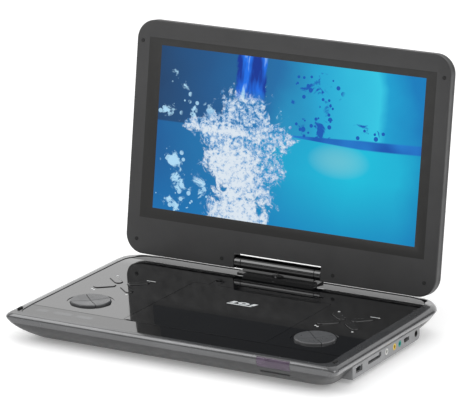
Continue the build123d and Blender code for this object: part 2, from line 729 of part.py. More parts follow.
with BuildPart() as port_panel:
    extrude(to_extrude=panel_outline(port_face_x, 0.0), amount=-20.0)
    fillet(port_panel.faces().sort_by(Axis.X)[-1].edges(), 0.7)
    extrude(to_extrude=panel_outline(plate_x, plate), amount=-20.0, mode=Mode.SUBTRACT)
    loft(sections=outer_hull, ruled=True, mode=Mode.SUBTRACT)
    with BuildSketch(side_plane.offset(plate_x - 2)):
        with Locations((usb_y, port_z)):
            Rectangle(2 * usb_half[0], 2 * usb_half[1])
        with Locations((card_y, port_z)):
            Rectangle(2 * card_half[0], 2 * card_half[1])
        with Locations((card_y + card_half[0], port_z + 1.6)):
            Rectangle(4.4, 4.6)
        with Locations(*[(y, port_z) for y in jack_places.values()], (dc_y, port_z)):
            Circle(jack_radius + 0.15)
        with Locations((switch_y, port_z)):
            Rectangle(11.0, 4.0)
    extrude(amount=10.0, mode=Mode.SUBTRACT)
save(port_panel, "port_panel")

usb_length = 13.6
with BuildPart() as usb_socket:
    with BuildSketch(side_plane.offset(plate_x - 0.1)):
        with Locations((usb_y, port_z)):
            Rectangle(14.2, 6.6)
    extrude(amount=-usb_length)
    with BuildSketch(side_plane.offset(plate_x - 0.1)):
        with Locations((usb_y, port_z)):
            Rectangle(12.6, 5.2)
    extrude(amount=1.0 - usb_length, mode=Mode.SUBTRACT)
    with BuildSketch(side_plane.offset(plate_x - 1.2)):
        with Locations((usb_y, port_z + 1.0)):
            Rectangle(11.2, 1.9)
    extrude(amount=1.4 - usb_length)
save(usb_socket, "usb_socket")

card_length = 27.0
with BuildPart() as card_socket:
    with BuildSketch(side_plane.offset(plate_x - 0.1)):
        with Locations((card_y, port_z - 0.6)):
            Rectangle(28.6, 4.6)
    extrude(amount=-card_length)
    with BuildSketch(side_plane.offset(plate_x - 0.1)):
        with Locations((card_y, port_z)):
            Rectangle(25.0, 2.4)
    extrude(amount=1.2 - card_length, mode=Mode.SUBTRACT)
save(card_socket, "card_socket")

jack_depth = 14.0
for name, y in jack_places.items():
    with BuildPart() as jack:
        with Locations((plate_x - 6.4, y, port_z)):
            Box(12.6, 7.4, 6.6)
        with Locations(Location((port_face_x, y, port_z), (0, 90, 0))):
            Cylinder(jack_radius, 2.5, align=(Align.CENTER, Align.CENTER, Align.MAX))
            Cylinder(jack_bore, jack_depth, align=(Align.CENTER, Align.CENTER, Align.MAX), mode=Mode.SUBTRACT)
    save(jack, name)

with BuildPart() as dc_socket:
    with Locations((plate_x - 6.4, dc_y, port_z)):
        Box(12.6, 9.0, 6.6)
    with Locations(Location((port_face_x, dc_y, port_z), (0, 90, 0))):
        Cylinder(jack_radius, 2.5, align=(Align.CENTER, Align.CENTER, Align.MAX))
        Cylinder(2.4, 10.0, align=(Align.CENTER, Align.CENTER, Align.MAX), mode=Mode.SUBTRACT)
        with Locations((0, 0, -1.5)):
            Cylinder(0.65, 9.0, align=(Align.CENTER, Align.CENTER, Align.MAX))
save(dc_socket, "dc_socket")

knob_y = switch_y - 2.0
with BuildPart() as switch_body:
    with Locations((plate_x - 3.1, switch_y, port_z)):
        Box(6.0, 15.0, 6.6)
    with Locations((plate_x - 1.6, switch_y, port_z)):
        Box(3.2, 10.0, 3.4, mode=Mode.SUBTRACT)
save(switch_body, "switch_body")

with BuildPart() as power_slider:
    with Locations((plate_x - 3.0, knob_y, port_z)):
        Box(5.8, 4.6, 3.0, align=(Align.MIN, Align.CENTER, Align.CENTER))
    with Locations(*[(plate_x + 2.8, knob_y + step, port_z) for step in (-1.4, 0, 1.4)]):
        Box(0.6, 0.5, 3.2, mode=Mode.SUBTRACT)
save(power_slider, "power_slider")

# --- hinge ------------------------------------------------------------------------------
with BuildPart() as swivel_bearing:
    with Locations((0, hinge_y, bearing_low)):
        Cylinder(bearing_radius, bearing_high - bearing_low, align=(Align.CENTER, Align.CENTER, Align.MIN))
        Cylinder(post_radius + running_gap, 20.0, align=(Align.CENTER, Align.CENTER, Align.MIN), mode=Mode.SUBTRACT)
save(swivel_bearing, "swivel_bearing")

neck_low = 31.0
collar_low = deck_z + 0.3
with BuildPart() as swivel_neck:
    with Locations((0, hinge_y, bearing_low + 0.4)):
        Cylinder(post_radius, hinge_z - bearing_low - 1, align=(Align.CENTER, Align.CENTER, Align.MIN))
    with Locations((0, hinge_y, collar_low)):
        Cylinder(bearing_radius + 1.4, 2.0, align=(Align.CENTER, Align.CENTER, Align.MIN))
    with BuildSketch(Plane.XZ.offset(-hinge_y)) as neck_front:
        with Locations((0, (neck_low + hinge_z) / 2)):
            RectangleRounded(2 * barrel_half - 2.0, hinge_z - neck_low, 1.5)
    extrude(amount=4.4, both=True)
    with Locations(Location((0, hinge_y, hinge_z), (0, 90, 0))):
        Cylinder(barrel_radius, 2 * barrel_half)
        Cylinder(shaft_radius + running_gap, 2 * barrel_half + 2, mode=Mode.SUBTRACT)
    with Locations((0, hinge_y, bearing_low)):
        Cylinder(2.4, hinge_z - bearing_low - 4.0, align=(Align.CENTER, Align.CENTER, Align.MIN), mode=Mode.SUBTRACT)
save(swivel_neck, "swivel_neck")

shaft_half = 61.0
with BuildPart() as tilt_shaft:
    with Locations(Location((0, hinge_y, hinge_z), (0, 90, 0))):
        Cylinder(shaft_radius, 2 * shaft_half)
save(tilt_shaft, "tilt_shaft")

cap_near = barrel_half + 0.4
cap_far = notch_half - 0.2
with BuildPart() as barrel_caps:
    for sx in (-1, 1):
        with Locations(Location((sx * (cap_near + cap_far) / 2, hinge_y, hinge_z), (0, 90, 0))):
            Cylinder(barrel_radius, cap_far - cap_near)
    fillet(barrel_caps.edges().filter_by(GeomType.CIRCLE), 0.5)
    with Locations(Location((0, hinge_y, hinge_z), (0, 90, 0))):
        Cylinder(shaft_radius, 2 * notch_half, mode=Mode.SUBTRACT)
save(barrel_caps, "barrel_caps")


# --- screen -----------------------------------------------------------------------------
def screen_plane(height):
    """Plane parallel to the screen: x across, y up the lid from the tilt axis, z towards the viewer."""
    mid_plane = Plane(
        origin=(0, hinge_y, hinge_z), x_dir=(1, 0, 0), z_dir=(0, -math.cos(lean), math.sin(lean))
    )
    return mid_plane.offset(height)


viewer_axis = Axis((0, hinge_y, hinge_z), (0, -math.cos(lean), math.sin(lean)))
lid_low = -hinge_from_edge
lid_high = tip_above_hinge
lid_middle = (lid_low + lid_high) / 2
lcd_middle = screen_below_lcd - hinge_from_edge
notch_top = notch_height - hinge_from_edge


def lid_outline(height, inset):
    """Rounded outline of the lid, set in from its edge."""
    with BuildSketch(screen_plane(height)) as outline:
        with Locations((0, lid_middle)):
            RectangleRounded(
                2 * (screen_half_width - inset), screen_height - 2 * inset, screen_corner - inset
            )
    return outline.sketch


def notch_outline(height, grow):
    """Outline of the hinge notch in the lid's bottom edge."""
    with BuildSketch(screen_plane(height)) as outline:
        with Locations((0, notch_top + grow)):
            Rectangle(2 * (notch_half + grow), 60.0, align=(Align.CENTER, Align.MAX))
    return outline.sketch


def screen_rectangle(height, half_width, low, high):
    """Plain rectangle in a plane parallel to the screen."""
    with BuildSketch(screen_plane(height)) as outline:
        with Locations((0, (low + high) / 2)):
            Rectangle(2 * half_width, high - low)
    return outline.sketch


def lid_room(low, high):
    """Hollow inside the lid's shell, which leaves a wall round the hinge notch."""
    room = extrude(lid_outline(low, shell_wall), high - low)
    return room - extrude(notch_outline(low - 1, shell_wall), high - low + 2)


bezel_face = half_thickness - shell_wall
glass_z = half_thickness - glass_setback - 0.4
cap_spots = ((-167.8, 86.1), (167.8, 86.1), (-162.0, -116.4), (162.0, -116.4))
screw_spots = ((-62.6, -123.2), (62.6, -123.2))
cap_radius = 2.0
front_room = lid_room(bezel_split, bezel_face)
surround = screen_rectangle(
    glass_z, window_half_width + 2.0, lcd_middle - window_below_lcd - 2.0, lcd_middle + window_above_lcd + 2.0
)
window_mouth_edge = screen_rectangle(
    half_thickness, window_half_width, lcd_middle - window_below_lcd, lcd_middle + window_above_lcd
)
window_foot_edge = screen_rectangle(
    glass_z, lcd_width / 2 + 0.4, lcd_middle - lcd_height / 2 - 0.4, lcd_middle + lcd_height / 2 + 0.4
)
with BuildPart() as screen_front:
    extrude(to_extrude=lid_outline(bezel_split, 0.0), amount=half_thickness - bezel_split)
    fillet(screen_front.faces().sort_by(viewer_axis)[-1].edges(), 1.4)
    add(front_room, mode=Mode.SUBTRACT)
    extrude(to_extrude=surround, amount=bezel_face - glass_z)
    loft(sections=[window_foot_edge, window_mouth_edge], ruled=True, mode=Mode.SUBTRACT)
    extrude(to_extrude=notch_outline(-20, 0.0), amount=40.0, mode=Mode.SUBTRACT)
    with Locations(Location((0, hinge_y, hinge_z), (0, 90, 0))):
        Cylinder(shaft_radius + 0.3, 2 * notch_half + 8, mode=Mode.SUBTRACT)
    with BuildSketch(screen_plane(half_thickness - 0.8)):
        with Locations(*[(x, y + lcd_middle) for x, y in cap_spots + screw_spots]):
            Circle(cap_radius)
    extrude(amount=2.0, mode=Mode.SUBTRACT)
save(screen_front, "screen_front")

with BuildPart() as screen_caps:
    with BuildSketch(screen_plane(half_thickness - 0.8)):
        with Locations(*[(x, y + lcd_middle) for x, y in cap_spots + screw_spots]):
            Circle(cap_radius)
    extrude(amount=1.3)
    fillet(screen_caps.faces().sort_by(viewer_axis)[-6:].edges(), 0.4)
save(screen_caps, "screen_caps")

rear_face = -half_thickness
back_room = lid_room(rear_face + shell_wall, bezel_split)
with BuildPart() as screen_back:
    extrude(to_extrude=lid_outline(rear_face, 0.0), amount=bezel_split - rear_face)
    fillet(screen_back.faces().sort_by(viewer_axis)[0].edges(), 4.0)
    add(back_room, mode=Mode.SUBTRACT)
    extrude(to_extrude=notch_outline(-20, 0.0), amount=40.0, mode=Mode.SUBTRACT)
    with Locations(Location((0, hinge_y, hinge_z), (0, 90, 0))):
        Cylinder(shaft_radius + 0.3, 2 * notch_half + 8, mode=Mode.SUBTRACT)
    with BuildSketch(screen_plane(rear_face - 1)):
        with Locations((-110.0, lcd_middle + 62.0), (110.0, lcd_middle + 62.0)):
            with GridLocations(0, 4.0, 1, 6):
                SlotOverall(46.0, 1.6)
    extrude(amount=shell_wall + 2, mode=Mode.SUBTRACT)
save(screen_back, "screen_back")

panel_half = (151.0, 87.0)
with BuildPart() as lcd_panel:
    extrude(
        to_extrude=screen_rectangle(
            glass_z - 1.4, panel_half[0], lcd_middle - panel_half[1], lcd_middle + panel_half[1]
        ),
        amount=1.4,
    )
save(lcd_panel, "lcd_panel")

with BuildPart() as lcd_backlight:
    extrude(
        to_extrude=screen_rectangle(
            glass_z - 5.4, panel_half[0] + 1, lcd_middle - panel_half[1] - 1, lcd_middle + panel_half[1] + 1
        ),
        amount=4.0,
    )
save(lcd_backlight, "lcd_backlight")

with BuildPart() as screen_board:
    extrude(to_extrude=screen_rectangle(-4.4, 60.0, 40.0, 76.0), amount=1.4)
    extrude(to_extrude=screen_rectangle(-3.1, 9.0, 50.0, 64.0), amount=0.9)
save(screen_board, "screen_board")

with BuildPart() as tilt_brackets:
    for sx in (-1, 1):
        with BuildSketch(screen_plane(-3.8)):
            with Locations((sx * (notch_half + shell_wall + 5.2), 9.0)):
                Rectangle(9.6, 26.0)
        extrude(amount=7.6)
    with Locations(Location((0, hinge_y, hinge_z), (0, 90, 0))):
        Cylinder(shaft_radius, 2 * shaft_half + 10, mode=Mode.SUBTRACT)
save(tilt_brackets, "tilt_brackets")

pieces = sorted(name for name in os.listdir("parts") if name.endswith(".step"))
print(len(pieces), "pieces written, tilt axis at y =", round(hinge_y, 3))
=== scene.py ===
"""Looks of the portable DVD player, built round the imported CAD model, in metres."""

import json
import math

import bmesh
import bpy
from mathutils import Matrix, Vector


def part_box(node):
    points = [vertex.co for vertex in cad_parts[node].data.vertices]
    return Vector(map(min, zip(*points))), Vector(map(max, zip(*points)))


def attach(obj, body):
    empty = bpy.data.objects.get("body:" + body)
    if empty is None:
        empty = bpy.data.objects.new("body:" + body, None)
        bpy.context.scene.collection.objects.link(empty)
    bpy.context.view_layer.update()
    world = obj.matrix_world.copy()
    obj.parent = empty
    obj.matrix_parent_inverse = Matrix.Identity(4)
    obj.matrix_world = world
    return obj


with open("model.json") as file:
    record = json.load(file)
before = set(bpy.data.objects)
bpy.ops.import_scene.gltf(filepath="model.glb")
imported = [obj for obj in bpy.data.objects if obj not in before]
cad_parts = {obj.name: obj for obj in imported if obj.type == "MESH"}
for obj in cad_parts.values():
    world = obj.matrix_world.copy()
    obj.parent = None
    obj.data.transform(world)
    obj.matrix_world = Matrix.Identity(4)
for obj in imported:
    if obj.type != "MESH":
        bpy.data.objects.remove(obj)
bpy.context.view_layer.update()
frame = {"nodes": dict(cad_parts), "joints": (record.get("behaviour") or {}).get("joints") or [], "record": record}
nodes = frame["nodes"]
joints = {joint["name"]: joint for joint in frame["joints"]}
MM = 0.001

# --- strength of the light --------------------------------------------------------------
FRONT_LIGHT = 0.3
BACK_LIGHT = 0.95
TOP_LIGHT = 1.25
TOP_MIRRORED = 0.65  # the light overhead, as gloss surfaces mirror it
DARK_SCREEN = 0.92  # share of the light that the dark screen takes away
KEY_POWER = 8
FILL_POWER = 8
FLOOR_GLOW = 0.22  # keeps the floor's shadows pale

# --- places taken from the frame --------------------------------------------------------
hinge = Vector(joints["screen_tilt"]["pos_m"])
lean = math.radians(90.0 - joints["screen_tilt"]["range_deg"][1])
door_low, door_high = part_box("disc_door")
deck_z = door_high.z
panel_low, panel_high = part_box("lcd_panel")
picture_centre = (panel_low + panel_high) / 2
picture_width = 294 * MM
picture_height = 165.4 * MM
picture_shape = picture_height / picture_width
surround_half_width = 160.0 * MM
surround_top = 90.7 * MM  # above the picture's middle
surround_bottom = 93.5 * MM  # below the picture's middle
satin_start = hinge.y - 12.4 * MM
satin_depth = 22 * MM
band_start = hinge.y - 197.5 * MM
band_slope = 1.2 / 26.3
key_centres = (-124.2, 124.2)  # in millimetres
key_y = hinge.y - 100.4 * MM
ink_thickness = 0.03 * MM


# --- camera, floor and light ------------------------------------------------------------
def aim_camera():
    """Long lens, a little above the player and to its right."""
    azimuth, elevation, roll = (math.radians(angle) for angle in (28.58, 15.66, 0.07))
    place = Vector((1.54107, hinge.y - 2.92472, 1.0327))
    away = math.cos(elevation)
    back = Vector((math.sin(azimuth) * away, -math.cos(azimuth) * away, math.sin(elevation)))
    right = Vector((math.cos(azimuth), math.sin(azimuth), 0))
    up = back.cross(right)
    rolled_right = right * math.cos(roll) + up * math.sin(roll)
    rolled_up = up * math.cos(roll) - right * math.sin(roll)
    lens = bpy.data.cameras.new("camera")
    lens.lens = 265.8
    lens.sensor_width = 36.0
    lens.clip_end = 50.0
    camera = bpy.data.objects.new("camera", lens)
    turn = Matrix((rolled_right, rolled_up, back)).transposed().to_4x4()
    camera.matrix_world = Matrix.Translation(place) @ turn
    bpy.context.scene.collection.objects.link(camera)
    bpy.context.scene.camera = camera


def soft_light(name, place, target, size, power):
    """Square studio light aimed at a point."""
    data = bpy.data.lights.new(name, "AREA")
    data.shape = "SQUARE"
    data.size = size
    data.energy = power
    light = bpy.data.objects.new(name, data)
    light.location = place
    light.rotation_mode = "QUATERNION"
    light.rotation_quaternion = (Vector(target) - Vector(place)).to_track_quat("-Z", "Y")
    bpy.context.scene.collection.objects.link(light)


def add_node(tree, kind, links=(), **settings):
    """A new shader node, with its settings, and its inputs as sockets or values."""
    made = tree.nodes.new(kind)
    for key, value in settings.items():
        setattr(made, key, value)
    for key, value in dict(links).items():
        if isinstance(value, bpy.types.NodeSocket):
            tree.links.new(value, made.inputs[key])
        else:
            made.inputs[key].default_value = value
    return made


def surroundings():
    """White studio, brightest overhead, dim in front, with a dark screen at the right behind."""
    world = bpy.data.worlds.new("surroundings")
    world.use_nodes = True
    tree = world.node_tree

    def ramp(value, start, end, low, high):
        links = {"Value": value, "From Min": start, "From Max": end, "To Min": low, "To Max": high}
        return add_node(tree, "ShaderNodeMapRange", links).outputs["Result"]

    def combine(operation, first, second):
        return add_node(tree, "ShaderNodeMath", {0: first, 1: second}, operation=operation).outputs[0]

    way = add_node(tree, "ShaderNodeTexCoord").outputs["Generated"]
    axes = add_node(tree, "ShaderNodeSeparateXYZ", {"Vector": way}).outputs
    level = ramp(axes["Y"], -0.45, 0.15, FRONT_LIGHT, BACK_LIGHT)
    mirrored = add_node(tree, "ShaderNodeLightPath").outputs["Is Glossy Ray"]
    overhead = ramp(mirrored, 0, 1, TOP_LIGHT, TOP_MIRRORED)
    level = combine("MAXIMUM", level, combine("MULTIPLY", ramp(axes["Z"], 0.35, 0.75, 0, 1), overhead))
    right = combine("MULTIPLY", ramp(axes["X"], 0.3, 0.4, 0, 1), ramp(axes["X"], 0.66, 0.74, 1, 0))
    low = combine("MULTIPLY", ramp(axes["Z"], 0.3, 0.38, 1, 0), ramp(axes["Y"], 0.3, 0.4, 0, 1))
    # Light is taken away where the dark screen stands.
    screen = combine("MULTIPLY", combine("MULTIPLY", right, low), DARK_SCREEN)
    level = combine("MULTIPLY", level, combine("SUBTRACT", 1.0, screen))
    background = tree.nodes["Background"]
    background.inputs["Color"].default_value = (1, 1, 1, 1)
    tree.links.new(level, background.inputs["Strength"])
    bpy.context.scene.world = world
    bpy.context.scene.view_settings.view_transform = "Standard"


def studio():
    """Pale floor and two soft lights."""
    sheet = bpy.data.meshes.new("floor")
    reach = 14.0
    corners = [(-reach, -reach, 0), (reach, -reach, 0), (reach, reach, 0), (-reach, reach, 0)]
    sheet.from_pydata(corners, [], [(0, 1, 2, 3)])
    floor = bpy.data.objects.new("floor", sheet)
    bpy.context.scene.collection.objects.link(floor)
    glow = {"Emission_Color": (1, 1, 1, 1), "Emission_Strength": FLOOR_GLOW}
    paper = Finish("floor_paper", (0.9, 0.9, 0.9), 0.9, **glow).drift(0.995, 1.005, 0.8)
    floor.data.materials.append(paper.material)
    soft_light("key_light", (-1.0, -1.1, 1.0), (0, 0, 0.1), 0.9, KEY_POWER)
    soft_light("fill_light", (1.8, -0.6, 1.3), (0, 0, 0.05), 1.0, FILL_POWER)


# --- materials --------------------------------------------------------------------------
class Finish:
    """One material: a Principled shader, and the texture nodes that feed it."""

    def __init__(self, name, colour, roughness, **settings):
        self.material = bpy.data.materials.new(name)
        self.material.use_nodes = True
        self.tree = self.material.node_tree
        self.shader = self.tree.nodes["Principled BSDF"]
        self.colour = colour
        self.shader.inputs["Base Color"].default_value = (*colour, 1)
        self.shader.inputs["Roughness"].default_value = roughness
        for socket, value in settings.items():
            self.shader.inputs[socket.replace("_", " ")].default_value = value
        self.place = self.node("ShaderNodeTexCoord").outputs["Object"]
        self.normal = None

    def node(self, kind, links=(), **settings):
        """A new node in this material."""
        return add_node(self.tree, kind, links, **settings)

    def link(self, output, socket):
        """Feeds one of the shader's inputs."""
        self.tree.links.new(output, self.shader.inputs[socket])

    def stretched(self, factors):
        """The object's coordinates, stretched along its axes."""
        return self.node("ShaderNodeMapping", {"Vector": self.place, "Scale": factors}).outputs["Vector"]

    def noise(self, size, detail=3.0, place=None):
        """Noise from 0 to 1 with features of about one size, in metres."""
        links = {"Vector": place or self.place, "Scale": 1 / size, "Detail": detail}
        return self.node("ShaderNodeTexNoise", links).outputs["Fac"]

    def span(self, value, low, high, start=0.3, end=0.7):
        """A value stretched from start and end to low and high."""
        links = {"Value": value, "From Min": start, "From Max": end, "To Min": low, "To Max": high}
        return self.node("ShaderNodeMapRange", links).outputs["Result"]

    def math(self, operation, first, second=0.0):
        """One calculation with two values."""
        return self.node("ShaderNodeMath", {0: first, 1: second}, operation=operation).outputs[0]

    def ramp(self, value, stops):
        """A colour that follows a value through stops, each a position and a colour."""
        made = self.node("ShaderNodeValToRGB", {"Fac": value})
        elements = made.color_ramp.elements
        while len(elements) < len(stops):
            elements.new(0.5)
        for element, (position, colour) in zip(elements, stops):
            element.position = position
            element.color = (*colour, 1)
        return made.outputs["Color"]

    def mirrored(self):
        """1 where the surface is seen in a mirror, 0 where it is seen directly."""
        return self.node("ShaderNodeLightPath").outputs["Is Glossy Ray"]

    def mix(self, factor, first, second):
        """Two colours mixed by a factor."""
        made = self.node("ShaderNodeMix", data_type="RGBA")
        for index, value in ((0, factor), (6, first), (7, second)):
            if isinstance(value, bpy.types.NodeSocket):
                self.tree.links.new(value, made.inputs[index])
            elif index:
                made.inputs[index].default_value = (*value, 1)
            else:
                made.inputs[index].default_value = value
        return made.outputs[2]

    def drift(self, low, high, size):
        """Slow change of the base colour over the surface."""
        dark = tuple(channel * low for channel in self.colour)
        light = tuple(channel * high for channel in self.colour)
        self.link(self.mix(self.span(self.noise(size), 0, 1), dark, light), "Base Color")
        return self

    def gloss(self, low, high, size, place=None):
        """Uneven roughness."""
        self.link(self.span(self.noise(size, 4.0, place), low, high), "Roughness")
        return self

    def relief(self, height, depth):
        """Adds a height pattern, in metres deep, to the surface's normal."""
        links = {"Height": height, "Distance": depth}
        if self.normal:
            links["Normal"] = self.normal
        self.normal = self.node("ShaderNodeBump", links).outputs["Normal"]
        self.link(self.normal, "Normal")
        return self

    def grain(self, size, depth):
        """Fine grain of the mould."""
        return self.relief(self.noise(size, 2.0), depth)


def satin(name, colour, roughness, grain=0.5 * MM, depth=0.012 * MM, **settings):
    """Satin moulded plastic."""
    made = Finish(name, colour, roughness, **settings).drift(0.9, 1.1, 40 * MM)
    return made.gloss(roughness - 0.05, roughness + 0.06, 9 * MM).grain(grain, depth)


def piano(name, colour=(0.0035, 0.0035, 0.004)):
    """Piano black: a clear coat over black, almost flat."""
    made = Finish(name, colour, 0.06, Coat_Weight=1.0, Coat_Roughness=0.015)
    made.drift(0.8, 1.3, 60 * MM).gloss(0.04, 0.09, 25 * MM)
    return made.relief(made.noise(18 * MM, 1.0), 0.004 * MM)


def deck():
    """Piano black, with a satin band along the rolled rear edge, painted lighter towards the rear as a painted
    reflection.
    """
    made = piano("deck_black")
    along = made.node("ShaderNodeSeparateXYZ", {"Vector": made.place}).outputs["Y"]
    rear = made.span(along, 0, 1, satin_start - 0.4 * MM, satin_start + 0.4 * MM)
    # Painted reflection: the satin band's colour runs from near black to dark grey towards the rear edge.
    painted_reflection_ramp = made.span(along, 0, 1, satin_start, satin_start + satin_depth)
    satin_with_painted_reflection = made.mix(painted_reflection_ramp, (0.014, 0.014, 0.0145), (0.07, 0.07, 0.072))
    made.link(made.mix(rear, made.colour, satin_with_painted_reflection), "Base Color")
    made.link(made.span(rear, 1, 0.12, 0, 1), "Coat Weight")
    made.link(made.span(rear, 0.5, 0.1, 0, 1), "Specular IOR Level")
    return made


def metal(name, colour, roughness, stretch=(1, 1, 1)):
    """Metal with fine tool marks along one direction."""
    made = Finish(name, colour, roughness, Metallic=1.0).drift(0.88, 1.08, 12 * MM)
    marks = made.noise(0.25 * MM, 3.0, made.stretched(stretch))
    made.link(made.span(marks, roughness - 0.06, roughness + 0.1), "Roughness")
    return made.relief(marks, 0.004 * MM)


def board():
    """Circuit board: green mask over copper tracks, with tinned spots."""
    made = Finish("board_mask", (0.01, 0.09, 0.035), 0.35)
    tracks = made.node(
        "ShaderNodeTexBrick",
        {"Vector": made.place, "Scale": 260.0, "Mortar Size": 0.12, "Brick Width": 1.4, "Row Height": 0.5},
    ).outputs["Fac"]
    spots = made.node("ShaderNodeTexVoronoi", {"Vector": made.place, "Scale": 240.0}).outputs["Distance"]
    green = made.mix(tracks, (0.008, 0.075, 0.03), (0.02, 0.16, 0.06))
    tinned = made.math("LESS_THAN", spots, 0.16)
    made.link(made.mix(tinned, green, (0.55, 0.53, 0.45)), "Base Color")
    return made.relief(tracks, 0.03 * MM).gloss(0.3, 0.45, 5 * MM)


def speaker_cone():
    """Doped paper with fine rings."""
    made = Finish("speaker_paper", (0.03, 0.03, 0.031), 0.7).drift(0.8, 1.25, 3 * MM)
    rings = made.node(
        "ShaderNodeTexWave",
        {"Vector": made.place, "Scale": 300.0, "Distortion": 0.4},
        wave_type="RINGS",
        rings_direction="Z",
    ).outputs["Fac"]
    return made.relief(rings, 0.08 * MM).grain(0.3 * MM, 0.03 * MM)


def cell_wrap():
    """Shrink wrap round the cells, with a pale band and fine wrinkles."""
    made = Finish("cell_wrap", (0.03, 0.13, 0.38), 0.3)
    wave = made.node("ShaderNodeTexWave", {"Vector": made.place, "Scale": 6.0}, bands_direction="Y")
    band = wave.outputs["Fac"]
    made.link(made.mix(made.math("GREATER_THAN", band, 0.93), made.colour, (0.5, 0.55, 0.6)), "Base Color")
    return made.gloss(0.22, 0.4, 4 * MM).relief(made.noise(2 * MM, 3.0), 0.05 * MM)


def screen_place(made):
    """Coordinates on the screen: x across and y up in picture widths, from its lower left corner."""
    size = 1 / picture_width
    turn = Matrix.Rotation(lean - math.pi / 2, 3, "X")
    corner = Vector((0.5, picture_shape / 2, 0))
    links = {
        "Vector": made.place,
        "Scale": (size, size, size),
        "Rotation": (lean - math.pi / 2, 0, 0),
        "Location": corner - turn @ (picture_centre * size),
    }
    return made.node("ShaderNodeMapping", links).outputs["Vector"]


def bezel():
    """Satin charcoal, with a darker sloped surround inside the window's mouth, and a painted dark reflection where
    it is seen in a mirror.
    """
    made = satin("bezel_charcoal", (0.026, 0.026, 0.0265), 0.42)
    place = made.node("ShaderNodeSeparateXYZ", {"Vector": screen_place(made)})
    across = made.math("ABSOLUTE", made.math("SUBTRACT", place.outputs["X"], 0.5))
    above = made.math("SUBTRACT", place.outputs["Y"], picture_shape / 2)
    inside_x = made.math("LESS_THAN", across, surround_half_width / picture_width)
    under_top = made.math("LESS_THAN", above, surround_top / picture_width)
    over_bottom = made.math("GREATER_THAN", above, -surround_bottom / picture_width)
    inside = made.math("MULTIPLY", inside_x, made.math("MULTIPLY", under_top, over_bottom))
    shade = made.mix(made.span(made.noise(40 * MM), 0, 1), (0.027, 0.027, 0.0275), (0.035, 0.035, 0.0355))
    shade = made.mix(inside, shade, (0.006, 0.0057, 0.005))
    # Painted reflection: seen in a mirror, the bezel is near black.
    made.link(made.mix(made.mirrored(), shade, (0.006, 0.006, 0.006)), "Base Color")
    return made


